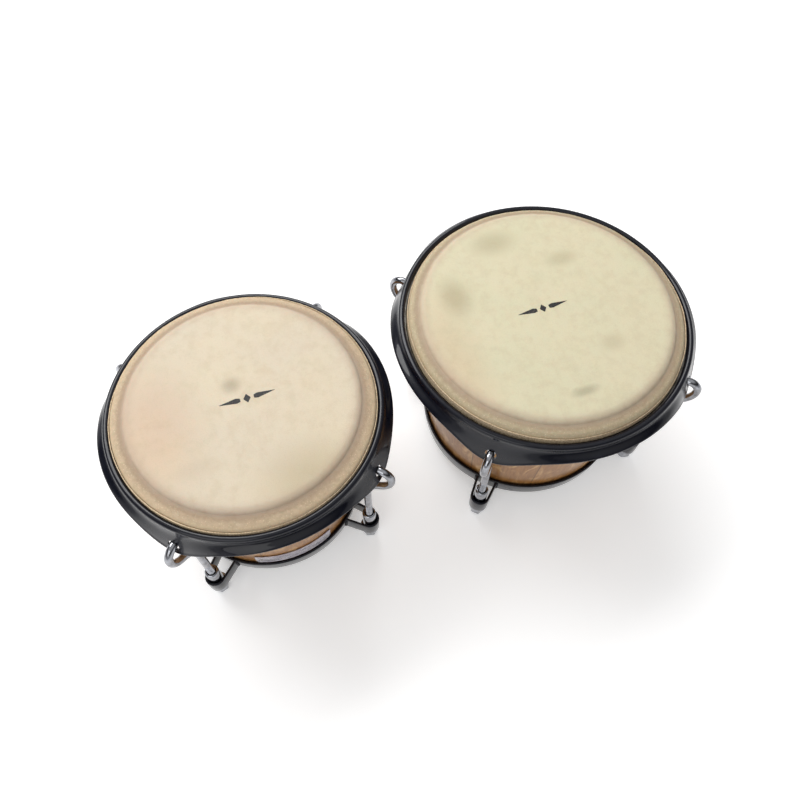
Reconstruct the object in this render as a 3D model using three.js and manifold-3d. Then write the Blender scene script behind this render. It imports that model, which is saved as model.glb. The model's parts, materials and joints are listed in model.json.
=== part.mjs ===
// A pair of bongo drums: two open-bottomed wooden shells with rawhide heads.
// Each head is tucked round a hidden flesh hoop and pulled down by a black rim, which four
// hooks draw towards four nuts. The nuts bear on strap loops welded to the base ring, and
// the drums stand on the nuts' ends. Millimetres, +Z up, the drums side by side along X,
// with the origin under the middle of the pair.

import * as THREE from "three";
import { mergeVertices } from "three/addons/utils/BufferGeometryUtils.js";
import Module from "manifold-3d";

const wasm = await Module();
wasm.setup();

// The two drums differ only in the size of their heads, 7 and 8 inches across the hoop
const SMALL_HEAD_RADIUS = 88.9;
const LARGE_HEAD_RADIUS = 101.6;
const RIM_TO_RIM = 9.6;
const LUG_ANGLES = [45, 135, 225, 315];
const DRUM_TURN = 2;
const GAP = 0.3;

// Heights above the surface that the drums stand on
const NUT_FLANGE_LOW = 12;
const ROD_END = 12;
const RING_BASE = 15;
const RING_HEIGHT = 15;
const NUT_TOP = 44;
const HOOK_HOLE_HEIGHT = 137;
const SKIRT_EDGE = 147;
const SKIN_EDGE = 147.5;
const HOOP_HEIGHT = 149;
const LOBE_START = 151;
const RIM_TOP = 156;
const LIP_TOP = 158;
const HEAD_TOP = 165;

// Radii, as offsets from the head radius or shares of it
const HOOK_REACH = 16.3;
const RIM_REACH = 15.5;
const BEAD_OFFSET = 6.5;
const HOOP_OFFSET = 4;
const LIP_OFFSET = 3.2;
const SKIN_OFFSET = 1.2;
const SHELL_TOP_OFFSET = -6.5;
const SHELL_FOOT_SHARE = 0.81;
const RING_SHARE = 0.84;
const ROD_FROM_RING = 17.5;

// Walls and sections
const SHELL_WALL = 8;
const BEARING_EDGE_RADIUS = 5.7;
const EDGE_BACK = [3, 1.5];
const SKIN_THICKNESS = 1.4;
const SHOULDER_END = 35;
const LIP_THICKNESS = 1.4;
const RING_WALL = 2.3;
const RING_LEAN = 1.5;
const RING_FLANGE_WIDTH = 7.2;
const RIM_WALL = 2.2;
const BEAD_RADIUS = 2.4;
const BEAD_START = -15;
const BEAD_END = 255;
const LOBE_SAG = 4;
const LOBE_DEPTH = 13;
const LOBE_FLARE = 1.2;
const LOBE_SHARPNESS = 5;
const HOOP_RADIUS = 2.4;
const ROD_RADIUS = 3;
const HOOK_HOLE_RADIUS = 4.4;
const HOOK_HOLE_LENGTH = 20;
const STRAP_INNER_RADIUS = 5.9;
const STRAP_WALL = 2.1;
const STRAP_OVERLAP = 4;
const STRAP_SPLAY = 1.5;
const BARREL_RADIUS = 5.5;
const FLANGE_RADIUS = 7.8;
const HEXAGON_RADIUS = 6.6;
const NUT_END_RADIUS = 4.4;
const NUT_TIP_LENGTH = 3;
const NUT_CHAMFER = 1;
const BORE_RADIUS = 3.5;
const BORE_FLOOR = 4;
const BADGE_WIDTH = 63;
const BADGE_HEIGHT = 16;
const BADGE_THICKNESS = 1;
const BADGE_RISE = 1.5;

// The flank of the rim in section: outwards from the bead's centre and down from the rim's top
const FLANK = [[1.3, 5], [1.8, 7], [4.3, 7.4]];
// The bend of a hook in section: outwards from its reach and down from its hole
const HOOK_BEND = [[-8, 0], [0.5, -0.2], [5.4, 4.2], [6, 13], [2.2, 21.5], [-5.5, 28.5]];
// Where the bend meets the rod: outwards from the rod and down from the hole
const ROD_TOP = [[1.2, 38], [0, 48]];
const BEND_SHARE = 0.9;

// Facets round each piece: the rim has twice as many as the pieces beside it
const ROUND_SEGMENTS = 32;
const RIM_SEGMENTS = 64;
const NUT_SEGMENTS = 12;

const skinMaterial = new THREE.MeshStandardMaterial({ color: 0xe0d2b4, roughness: 0.75 });
const woodMaterial = new THREE.MeshStandardMaterial({ color: 0x9a7548, roughness: 0.3 });
const blackMaterial = new THREE.MeshStandardMaterial({ color: 0x14161a, roughness: 0.35, metalness: 0.4 });
const chromeMaterial = new THREE.MeshStandardMaterial({ color: 0xc8cacc, roughness: 0.12, metalness: 1 });
const hoopMaterial = new THREE.MeshStandardMaterial({ color: 0x8a8a88, roughness: 0.5, metalness: 0.8 });
const badgeMaterial = new THREE.MeshStandardMaterial({ color: 0xb9b6c0, roughness: 0.3, metalness: 0.9 });

// A closed solid for joining and cutting, from a closed three.js geometry
function toSolid(geometry) {
  const bare = geometry.clone();
  bare.deleteAttribute("normal");
  bare.deleteAttribute("uv");
  const merged = mergeVertices(bare, 1e-4);
  const vertProperties = new Float32Array(merged.attributes.position.array);
  const triVerts = new Uint32Array(merged.index.array);
  const mesh = new wasm.Mesh({ numProp: 3, vertProperties, triVerts });
  return new wasm.Manifold(mesh);
}

function toGeometry(solid) {
  const mesh = solid.getMesh();
  const geometry = new THREE.BufferGeometry();
  geometry.setAttribute("position", new THREE.BufferAttribute(mesh.vertProperties, 3));
  geometry.setIndex(new THREE.BufferAttribute(mesh.triVerts, 1));
  geometry.computeVertexNormals();
  return geometry;
}

// Turns a profile of [radius, height] pairs round Z. It runs counterclockwise in that plane.
function turned(profile, segments, closed = true) {
  const points = profile.map(([radius, height]) => new THREE.Vector2(radius, height));
  if (closed) points.push(points[0].clone());
  return new THREE.LatheGeometry(points, segments).rotateX(Math.PI / 2);
}

// Points of an arc round [x, z], between two angles in degrees
function arc(x, z, radius, from, to, steps) {
  return Array.from({ length: steps + 1 }, (_, i) => {
    const angle = THREE.MathUtils.degToRad(from + ((to - from) * i) / steps);
    return [x + radius * Math.cos(angle), z + radius * Math.sin(angle)];
  });
}

// An upright cylinder or cone that stands at a height
function cylinder(topRadius, lowRadius, length, low, segments) {
  const shape = new THREE.CylinderGeometry(topRadius, lowRadius, length, segments);
  return shape.rotateX(Math.PI / 2).translate(0, 0, low + length / 2);
}

// The sizes of one drum that follow from its head radius
function drumSizes(headRadius) {
  const ringRadius = RING_SHARE * headRadius;
  const edgeHeight = HEAD_TOP - SKIN_THICKNESS - GAP - BEARING_EDGE_RADIUS;
  const shellFoot = RING_BASE + RING_WALL + GAP;
  const footRadius = SHELL_FOOT_SHARE * headRadius;
  const topRadius = headRadius + SHELL_TOP_OFFSET;
  const slope = (topRadius - footRadius) / (edgeHeight - shellFoot);
  return {
    headRadius,
    ringRadius,
    edgeHeight,
    shellFoot,
    footRadius,
    topRadius,
    rodRadius: ringRadius + ROD_FROM_RING,
    shellRadiusAt: (height) => footRadius + slope * (height - shellFoot),
  };
}

// A straight tapered wall with a rounded bearing edge on top
function shellGeometry({ topRadius, edgeHeight, shellFoot, footRadius }) {
  const edgeCentre = topRadius - BEARING_EDGE_RADIUS;
  const [back, drop] = EDGE_BACK;
  return turned([
    [footRadius - SHELL_WALL, shellFoot],
    [footRadius, shellFoot],
    ...arc(edgeCentre, edgeHeight, BEARING_EDGE_RADIUS, 0, 90, 3),
    [edgeCentre - back, edgeHeight + BEARING_EDGE_RADIUS - drop],
  ], ROUND_SEGMENTS);
}

// A pressed steel band, leaning with the shell, and the flange that the shell stands on
function baseRingGeometry({ ringRadius }) {
  const top = RING_BASE + RING_HEIGHT;
  const flangeTop = RING_BASE + RING_WALL;
  return turned([
    [ringRadius - RING_WALL - RING_FLANGE_WIDTH, RING_BASE],
    [ringRadius, RING_BASE],
    [ringRadius + RING_LEAN, top],
    [ringRadius + RING_LEAN - RING_WALL, top],
    [ringRadius - RING_WALL, flangeTop],
    [ringRadius - RING_WALL - RING_FLANGE_WIDTH, flangeTop],
  ], ROUND_SEGMENTS);
}

// The flat playing face, its rounded shoulder, and the collar with a lip over the flesh hoop
function headSkinGeometry({ topRadius, headRadius, edgeHeight }) {
  const edgeCentre = topRadius - BEARING_EDGE_RADIUS;
  const innerRadius = BEARING_EDGE_RADIUS + GAP;
  const outerRadius = innerRadius + SKIN_THICKNESS;
  const skinOuter = headRadius + SKIN_OFFSET;
  const skinInner = skinOuter - SKIN_THICKNESS;
  const lipEdge = headRadius + LIP_OFFSET;
  return turned([
    [0, edgeHeight + innerRadius],
    ...arc(edgeCentre, edgeHeight, innerRadius, 90, SHOULDER_END - 10, 3),
    [skinInner, LIP_TOP - SKIN_THICKNESS],
    [skinInner, SKIN_EDGE],
    [skinOuter, SKIN_EDGE],
    [skinOuter, RIM_TOP],
    [lipEdge, LIP_TOP - LIP_THICKNESS],
    [lipEdge, LIP_TOP],
    ...arc(edgeCentre, edgeHeight, outerRadius, SHOULDER_END, 90, 4),
    [0, HEAD_TOP],
  ], ROUND_SEGMENTS, false);
}

// The steel hoop that the skin is tucked round, with the tuck's thickness in its section
function fleshHoopGeometry({ headRadius }) {
  const ring = new THREE.TorusGeometry(headRadius + HOOP_OFFSET, HOOP_RADIUS, 6, ROUND_SEGMENTS);
  return ring.translate(0, 0, HOOP_HEIGHT);
}

// How far into a lobe a direction lies: 1 at a lug and 0 half way between two
function lobeShare(x, y) {
  const fromLug = Math.atan2(y, x) - THREE.MathUtils.degToRad(LUG_ANGLES[0]);
  return (1 + Math.cos(LUG_ANGLES.length * fromLug)) / 2;
}

// A rolled bead on a flaring skirt, which drops into a lobe with a hook hole at each lug
function rimGeometry({ headRadius }) {
  const beadCentre = headRadius + BEAD_OFFSET;
  const flankPoints = FLANK.map(([out, down]) => new THREE.Vector2(beadCentre + out, RIM_TOP - down));
  const flankEnd = new THREE.Vector2(headRadius + RIM_REACH - RIM_WALL / 2, SKIRT_EDGE);
  const flank = new THREE.CubicBezierCurve(...flankPoints, flankEnd);
  const steps = [0, 0.4, 0.65, 0.85, 1];
  const side = (offset) => steps.map((t) => {
    const point = flank.getPoint(t);
    const tangent = flank.getTangent(t);
    return [point.x - tangent.y * offset, point.y + tangent.x * offset];
  });
  const bead = arc(beadCentre, RIM_TOP - BEAD_RADIUS, BEAD_RADIUS, BEAD_START, BEAD_END, 5);
  const profile = [...side(RIM_WALL / 2).reverse(), ...bead, ...side(-RIM_WALL / 2)];
  const geometry = turned(profile, RIM_SEGMENTS);
  // How strongly each profile point is drawn into the lobes, from its place down the flank
  const draws = steps.map((t) => {
    const depth = (LOBE_START - flank.getPoint(t).y) / (LOBE_START - SKIRT_EDGE);
    return Math.max(0, depth) ** 2;
  });
  const pulls = [...draws.toReversed(), ...bead.map(() => 0), ...draws, draws.at(-1)];
  const positions = geometry.attributes.position;
  for (let i = 0; i < positions.count; i += 1) {
    const x = positions.getX(i);
    const y = positions.getY(i);
    const pull = pulls[i % pulls.length];
    const share = lobeShare(x, y);
    const lobe = share ** LOBE_SHARPNESS;
    const drop = pull * (LOBE_SAG * share + LOBE_DEPTH * lobe);
    const spread = 1 + (LOBE_FLARE * pull * lobe) / Math.hypot(x, y);
    positions.setXYZ(i, x * spread, y * spread, positions.getZ(i) - drop);
  }
  let solid = toSolid(geometry);
  for (const angle of LUG_ANGLES) {
    const hole = cylinder(HOOK_HOLE_RADIUS, HOOK_HOLE_RADIUS, HOOK_HOLE_LENGTH, 0, 12);
    hole.rotateY(Math.PI / 2).translate(headRadius + BEAD_OFFSET, 0, HOOK_HOLE_HEIGHT);
    hole.rotateZ(THREE.MathUtils.degToRad(angle));
    solid = solid.subtract(toSolid(hole));
  }
  return toGeometry(solid);
}

// The hook's centre line in the plane of X and Z: a bent top, then a straight rod
class HookPath extends THREE.Curve {
  constructor({ headRadius, rodRadius }) {
    super();
    const placed = (radius) => ([out, down]) => new THREE.Vector3(radius + out, 0, HOOK_HOLE_HEIGHT - down);
    const bendPoints = HOOK_BEND.map(placed(headRadius + HOOK_REACH));
    const rodPoints = ROD_TOP.map(placed(rodRadius));
    this.bend = new THREE.CatmullRomCurve3([...bendPoints, ...rodPoints], false, "centripetal");
    this.rodEnd = new THREE.Vector3(rodRadius, 0, ROD_END);
  }

  getPoint(t, target = new THREE.Vector3()) {
    if (t <= BEND_SHARE) return this.bend.getPoint(t / BEND_SHARE, target);
    const share = (t - BEND_SHARE) / (1 - BEND_SHARE);
    return target.copy(this.bend.getPoint(1)).lerp(this.rodEnd, share);
  }

  getUtoTmapping(u) {
    return u;
  }
}

function hookGeometry(sizes) {
  const section = new THREE.Shape();
  const corners = arc(0, 0, ROD_RADIUS, 0, 315, 7).map(([x, y]) => new THREE.Vector2(x, y));
  section.setFromPoints(corners);
  return new THREE.ExtrudeGeometry(section, { steps: 16, extrudePath: new HookPath(sizes) });
}

// A flat bar on edge, bent round the nut, whose arms spread and are cut to meet the base ring
function strapGeometry({ ringRadius, rodRadius }) {
  const outer = STRAP_INNER_RADIUS + STRAP_WALL;
  const start = ringRadius - STRAP_OVERLAP;
  const shape = new THREE.Shape();
  shape.moveTo(start, -outer - STRAP_SPLAY);
  shape.absarc(rodRadius, 0, outer, -Math.PI / 2, Math.PI / 2, false);
  shape.lineTo(start, outer + STRAP_SPLAY);
  shape.lineTo(start, STRAP_INNER_RADIUS + STRAP_SPLAY);
  shape.absarc(rodRadius, 0, STRAP_INNER_RADIUS, Math.PI / 2, -Math.PI / 2, true);
  shape.lineTo(start, -STRAP_INNER_RADIUS - STRAP_SPLAY);
  const bar = new THREE.ExtrudeGeometry(shape, {
    depth: RING_HEIGHT - 2 * GAP, bevelEnabled: false, curveSegments: 10,
  }).translate(0, 0, RING_BASE + GAP);
  const reach = ringRadius + GAP;
  const ringTop = RING_BASE + RING_HEIGHT;
  const ringSpace = turned([
    [0, RING_BASE],
    [reach, RING_BASE],
    [reach + RING_LEAN, ringTop],
    [0, ringTop],
  ], 2 * ROUND_SEGMENTS, false);
  return toGeometry(toSolid(bar).subtract(toSolid(ringSpace)));
}

// A long barrel that rises through the strap, a flange under it and a tapered hexagon below
function nutGeometry() {
  const barrel = turned([
    [0, NUT_FLANGE_LOW],
    [FLANGE_RADIUS - NUT_CHAMFER, NUT_FLANGE_LOW],
    [FLANGE_RADIUS, NUT_FLANGE_LOW + NUT_CHAMFER],
    [FLANGE_RADIUS, RING_BASE],
    [BARREL_RADIUS, RING_BASE],
    [BARREL_RADIUS, NUT_TOP - NUT_CHAMFER],
    [BARREL_RADIUS - NUT_CHAMFER, NUT_TOP],
    [0, NUT_TOP],
  ], NUT_SEGMENTS, false);
  const hexagonLength = NUT_FLANGE_LOW - NUT_TIP_LENGTH + NUT_CHAMFER;
  const hexagon = cylinder(HEXAGON_RADIUS, HEXAGON_RADIUS, hexagonLength, NUT_TIP_LENGTH, 6);
  const tip = cylinder(HEXAGON_RADIUS, NUT_END_RADIUS, NUT_TIP_LENGTH, 0, 6);
  const bore = cylinder(BORE_RADIUS, BORE_RADIUS, NUT_TOP, BORE_FLOOR, NUT_SEGMENTS);
  const body = toSolid(barrel).add(toSolid(hexagon)).add(toSolid(tip));
  return toGeometry(body.subtract(toSolid(bore)));
}

// A plain curved plate lying against the shell, just above the base ring
function badgeGeometry(sizes) {
  const low = RING_BASE + RING_HEIGHT + BADGE_RISE;
  const high = low + BADGE_HEIGHT;
  const band = turned([
    [sizes.shellRadiusAt(low) + GAP, low],
    [sizes.shellRadiusAt(low) + GAP + BADGE_THICKNESS, low],
    [sizes.shellRadiusAt(high) + GAP + BADGE_THICKNESS, high],
    [sizes.shellRadiusAt(high) + GAP, high],
  ], ROUND_SEGMENTS);
  const keep = new THREE.BoxGeometry(BADGE_WIDTH, sizes.ringRadius, 2 * BADGE_HEIGHT);
  keep.translate(0, -sizes.ringRadius, (low + high) / 2);
  return toGeometry(toSolid(band).intersect(toSolid(keep)));
}

function piece(name, geometry, material) {
  const mesh = new THREE.Mesh(geometry, material);
  mesh.name = name;
  return mesh;
}

function buildDrum(name, headRadius) {
  const drum = new THREE.Group();
  const sizes = drumSizes(headRadius);
  drum.add(piece(`${name}_shell`, shellGeometry(sizes), woodMaterial));
  drum.add(piece(`${name}_base_ring`, baseRingGeometry(sizes), blackMaterial));
  drum.add(piece(`${name}_head_skin`, headSkinGeometry(sizes), skinMaterial));
  drum.add(piece(`${name}_flesh_hoop`, fleshHoopGeometry(sizes), hoopMaterial));
  drum.add(piece(`${name}_rim`, rimGeometry(sizes), blackMaterial));
  LUG_ANGLES.forEach((degrees, index) => {
    const number = index + 1;
    const angle = THREE.MathUtils.degToRad(degrees);
    const strap = piece(`${name}_strap_${number}`, strapGeometry(sizes), blackMaterial);
    const hook = piece(`${name}_hook_${number}`, hookGeometry(sizes), chromeMaterial);
    const nut = piece(`${name}_nut_${number}`, nutGeometry(), chromeMaterial);
    strap.rotation.z = angle;
    hook.rotation.z = angle;
    nut.rotation.z = angle;
    nut.position.set(sizes.rodRadius * Math.cos(angle), sizes.rodRadius * Math.sin(angle), 0);
    drum.add(strap, hook, nut);
  });
  drum.rotation.z = THREE.MathUtils.degToRad(DRUM_TURN);
  return drum;
}

const bongos = new THREE.Group();
const smallReach = SMALL_HEAD_RADIUS + RIM_REACH;
const largeReach = LARGE_HEAD_RADIUS + RIM_REACH;
const halfLength = smallReach + RIM_TO_RIM / 2 + largeReach;

const smallDrum = buildDrum("small", SMALL_HEAD_RADIUS);
smallDrum.add(piece("small_badge", badgeGeometry(drumSizes(SMALL_HEAD_RADIUS)), badgeMaterial));
smallDrum.position.x = smallReach - halfLength;

const largeDrum = buildDrum("large", LARGE_HEAD_RADIUS);
largeDrum.position.x = halfLength - largeReach;

bongos.add(smallDrum, largeDrum);

export default bongos;
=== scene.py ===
"""The looks of a pair of bongo drums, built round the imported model. Lengths are in metres.

Each drum has a wooden shell, a rawhide head tucked round a hidden hoop, a black rim with
four lobes, and four chromed hooks and nuts that draw the rim towards the base ring.
"""

import json
import math

import bmesh
import bpy
import numpy as np
from mathutils import Matrix, Vector

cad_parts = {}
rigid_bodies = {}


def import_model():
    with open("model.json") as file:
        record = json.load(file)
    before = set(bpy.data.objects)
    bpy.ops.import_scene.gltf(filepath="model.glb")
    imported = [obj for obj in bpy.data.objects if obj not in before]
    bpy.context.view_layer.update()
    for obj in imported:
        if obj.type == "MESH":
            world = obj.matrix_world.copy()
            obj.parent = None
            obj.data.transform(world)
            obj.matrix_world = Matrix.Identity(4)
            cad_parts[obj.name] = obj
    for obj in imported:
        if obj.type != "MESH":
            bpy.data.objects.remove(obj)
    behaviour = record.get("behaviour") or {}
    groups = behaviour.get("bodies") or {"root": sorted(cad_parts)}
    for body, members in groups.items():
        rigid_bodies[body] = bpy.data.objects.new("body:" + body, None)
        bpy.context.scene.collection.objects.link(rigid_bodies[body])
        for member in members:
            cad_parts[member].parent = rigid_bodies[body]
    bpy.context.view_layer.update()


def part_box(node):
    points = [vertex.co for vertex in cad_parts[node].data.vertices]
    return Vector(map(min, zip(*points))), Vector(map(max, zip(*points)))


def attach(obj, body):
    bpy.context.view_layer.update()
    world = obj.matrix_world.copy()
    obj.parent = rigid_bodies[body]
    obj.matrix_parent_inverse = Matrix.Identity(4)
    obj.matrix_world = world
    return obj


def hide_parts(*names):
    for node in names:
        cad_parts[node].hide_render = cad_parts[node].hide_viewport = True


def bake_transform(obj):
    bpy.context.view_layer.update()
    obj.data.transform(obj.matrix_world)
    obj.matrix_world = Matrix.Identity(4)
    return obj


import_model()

MM = 0.001
TURN = 2 * math.pi

# The camera's place and aim
CAMERA_PLACE = Vector((-0.108, -0.265, 0.614))
CAMERA_HEADING = Vector((0.359, 0.933, 0.0))
CAMERA_PITCH = math.radians(61.35)
CAMERA_ROLL = math.radians(1.44)
CAMERA_LENS = 33.49

# Sections and wall thicknesses, which the boxes of the nodes don't give
SKIN_LIP = 3.2 * MM
SKIN_THICKNESS = 1.2 * MM
SHELL_WALL = 8 * MM
STAVES = 10
EDGE_RADIUS = 5.7 * MM
EDGE_DROP = 7.4 * MM
SHELL_TOP_INSET = 6.5 * MM
SHELL_FOOT_SHARE = 0.81
PLATE_GAP = 0.3 * MM
HOOK_REACH = 16.3 * MM
RIM_WALL = 2.2 * MM
BEAD_RADIUS = 2.4 * MM
BEAD_OUT = 6.5 * MM
LOBE_SAG = 4 * MM
LOBE_DEPTH = 13 * MM
LOBE_FLARE = 1.2 * MM
LOBE_SHARPNESS = 5
HOOK_HOLE_DROP = 19 * MM
HOOK_HOLE_RADIUS = 4.4 * MM
HOOP_OUT = 4 * MM
HOOP_DROP = 7 * MM
HOOP_RADIUS = 2.4 * MM
ROD_RADIUS = 3 * MM
ROD_SIDES = 24
THREAD_PITCH = 1.27 * MM
THREAD_DEPTH = 0.45 * MM
STRAP_INNER_RADIUS = 5.9 * MM
STRAP_WALL = 2.1 * MM
STRAP_SPLAY = 1.4 * MM
RING_WALL = 2.3 * MM
RING_LEAN = 1.5 * MM
RING_FLANGE = 7.2 * MM
BORE_RADIUS = 3.5 * MM
BARREL_RADIUS = 5.5 * MM
HEXAGON_RADIUS = 6.6 * MM
NUT_SIDES = 72


class Drum:
    """The sizes of one drum, measured on its nodes."""

    def __init__(self, name):
        self.name = name
        self.body = f"{name}_drum"
        self.rim_body = f"{name}_rim"
        skin_low, skin_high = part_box(f"{name}_head_skin")
        shell_low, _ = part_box(f"{name}_shell")
        ring_low, ring_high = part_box(f"{name}_base_ring")
        rim_low, rim_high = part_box(f"{name}_rim")
        middle = (skin_low + skin_high) / 2
        self.centre = Vector((middle.x, middle.y, 0.0))
        self.lugs = [self.lug(number) for number in range(1, 5)]
        self.first_lug = self.lugs[0][0]
        self.rod = self.lugs[0][1]
        turn = self.first_lug - math.radians(45)
        self.head = (skin_high.x - skin_low.x) / 2 / math.cos(turn) - SKIN_LIP
        self.rim_reach = (rim_high.x - rim_low.x) / 2 / math.cos(turn)
        self.top = skin_high.z
        self.rim_top = rim_high.z
        self.foot = shell_low.z
        self.ring_low = ring_low.z
        self.ring_high = ring_high.z
        self.ring = (ring_high.x - ring_low.x) / 2 / math.cos(turn) - RING_LEAN
        nut_low, nut_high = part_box(f"{name}_nut_1")
        self.nut_low = nut_low.z
        self.nut_high = nut_high.z
        self.edge_height = self.top - EDGE_DROP
        self.shell_top = self.head - SHELL_TOP_INSET
        self.edge_centre = self.shell_top - EDGE_RADIUS
        self.shell_foot = self.head * SHELL_FOOT_SHARE

    def lug(self, number):
        """The azimuth and the distance of a nut's axis from the drum's."""
        low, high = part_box(f"{self.name}_nut_{number}")
        arm = (low + high) / 2 - self.centre
        return math.atan2(arm.y, arm.x), math.hypot(arm.x, arm.y)

    def shell_radius(self, height):
        share = (height - self.foot) / (self.edge_height - self.foot)
        return self.shell_foot + share * (self.shell_top - self.shell_foot)


# ---------------------------------------------------------------- outlines


def arc(r, z, radius, start, end, steps):
    """Points of an arc round (r, z), between two angles in degrees."""
    angles = np.radians(np.linspace(start, end, steps + 1))
    return [(r + radius * math.cos(a), z + radius * math.sin(a)) for a in angles]


def rounded(corners, radius, steps=3):
    """A closed outline with its corners rounded."""
    outline = []
    for index, corner in enumerate(corners):
        here = Vector(corner)
        before = Vector(corners[index - 1]) - here
        after = Vector(corners[(index + 1) % len(corners)]) - here
        cut = min(radius, before.length / 2, after.length / 2)
        start = here + before.normalized() * cut
        end = here + after.normalized() * cut
        for step in range(steps + 1):
            t = step / steps
            outline.append(start * (1 - t) ** 2 + here * 2 * t * (1 - t) + end * t ** 2)
    return [tuple(point) for point in outline]


def flowing(points, steps):
    """A smooth centripetal Catmull-Rom curve through points, with steps to each span."""
    path = [Vector(p) for p in points]
    path = [2 * path[0] - path[1], *path, 2 * path[-1] - path[-2]]
    curve = []
    for span in zip(path, path[1:], path[2:], path[3:]):
        knots = [0.0]
        for start, end in zip(span, span[1:]):
            knots.append(knots[-1] + math.sqrt((end - start).length))
        for step in range(steps):
            t = knots[1] + (knots[2] - knots[1]) * step / steps
            level = span
            for reach in (((0, 1), (1, 2), (2, 3)), ((0, 2), (1, 3)), ((1, 2),)):
                level = [blended(level, index, knots[low], knots[high], t)
                         for index, (low, high) in enumerate(reach)]
            curve.append(level[0])
    curve.append(path[-2])
    return curve


def blended(level, index, low, high, t):
    share = (t - low) / (high - low)
    return level[index] * (1 - share) + level[index + 1] * share


def thickened(centreline, thickness):
    """The closed outline of a sheet that follows centreline."""
    points = [Vector(p) for p in centreline]
    sides = ([], [])
    for index, point in enumerate(points):
        ahead = points[min(index + 1, len(points) - 1)]
        behind = points[max(index - 1, 0)]
        along = (ahead - behind).normalized()
        across = Vector((-along.y, along.x)) * thickness / 2
        sides[0].append(tuple(point + across))
        sides[1].append(tuple(point - across))
    return sides[0] + sides[1][::-1]


# ---------------------------------------------------------------- meshes


def grid_object(name, points, rows_close=False):
    """A closed skin over points[row][column]. Columns always close; a row may be one point."""
    vertices = []
    rows = []
    for row in points:
        row = np.asarray(row, float).reshape(-1, 3)
        rows.append(range(len(vertices), len(vertices) + len(row)))
        vertices.extend(row.tolist())
    faces = []
    count = len(rows)
    for index in range(count if rows_close else count - 1):
        low = rows[index]
        high = rows[(index + 1) % count]
        columns = max(len(low), len(high))
        for column in range(columns):
            after = (column + 1) % columns
            if len(low) == 1:
                faces.append((low[0], high[after], high[column]))
            elif len(high) == 1:
                faces.append((low[column], low[after], high[0]))
            else:
                faces.append((low[column], low[after], high[after], high[column]))
    mesh = bpy.data.meshes.new(name)
    mesh.from_pydata(vertices, [], faces)
    mesh.update()
    return finished_object(name, mesh)


def finished_object(name, mesh, sharp=35):
    """An object for the mesh, with its faces turned outwards and smooth between sharp edges."""
    work = bmesh.new()
    work.from_mesh(mesh)
    if work.calc_volume(signed=True) < 0:
        bmesh.ops.reverse_faces(work, faces=work.faces)
    work.to_mesh(mesh)
    work.free()
    mesh.shade_smooth()
    mesh.set_sharp_from_angle(angle=math.radians(sharp))
    item = bpy.data.objects.new(name, mesh)
    bpy.context.scene.collection.objects.link(item)
    return item


def lathe(name, drum, outline, columns=192, open_ends=False, shape=None):
    """Turns an outline of (radius, height) round the drum's axis.

    shape(radius, height, azimuth, row) may bend the result; it takes and gives arrays.
    With open_ends the outline starts and ends on the axis.
    """
    azimuth = np.linspace(0, TURN, columns, endpoint=False)
    rows = []
    for index, (radius, height) in enumerate(outline):
        if open_ends and index in (0, len(outline) - 1):
            rows.append([(drum.centre.x, drum.centre.y, height)])
            continue
        r = np.full(columns, float(radius))
        z = np.full(columns, float(height))
        if shape:
            r, z = shape(r, z, azimuth, index)
        x = drum.centre.x + r * np.cos(azimuth)
        y = drum.centre.y + r * np.sin(azimuth)
        rows.append(np.column_stack((x, y, z)))
    return grid_object(name, rows, rows_close=not open_ends)


def join(name, items):
    """Makes one object of several."""
    work = bmesh.new()
    for item in items:
        work.from_mesh(item.data)
    mesh = bpy.data.meshes.new(name)
    work.to_mesh(mesh)
    work.free()
    for item in items:
        bpy.data.objects.remove(item)
    return finished_object(name, mesh)


def polar(drum, azimuth, radius, height):
    """A point beside a drum, from cylinder coordinates."""
    out = Vector((math.cos(azimuth), math.sin(azimuth), 0)) * radius
    return drum.centre + out + Vector((0, 0, height))


def wobble(azimuth, counts, seed):
    """A random outline that closes on itself, from -1 to 1, finer with each count."""
    random = np.random.default_rng(seed)
    total = np.zeros_like(azimuth)
    weight = 0.0
    for level, count in enumerate(counts):
        values = random.uniform(-1, 1, count)
        places = np.append(np.arange(count), count) * TURN / count
        total += np.interp(azimuth, places, np.append(values, values[0])) / (level + 1)
        weight += 1 / (level + 1)
    return total / weight


# ---------------------------------------------------------------- materials


def srgb(red, green, blue):
    """A linear colour from one given as 0 to 255 on a screen."""
    channels = []
    for value in (red, green, blue):
        value /= 255
        channels.append(value / 12.92 if value <= 0.04045 else ((value + 0.055) / 1.055) ** 2.4)
    return (*channels, 1.0)


# The name of the attribute that holds where each point of a hide is at rest
REST_PLACE = "rest_place"


def keep_rest_place(item):
    """A blended piece bends point by point, so its paint goes by where each point is at rest."""
    kept = item.data.attributes.new(REST_PLACE, "FLOAT_VECTOR", "POINT")
    for point, vertex in zip(kept.data, item.data.vertices):
        point.vector = item.matrix_world @ vertex.co


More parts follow.
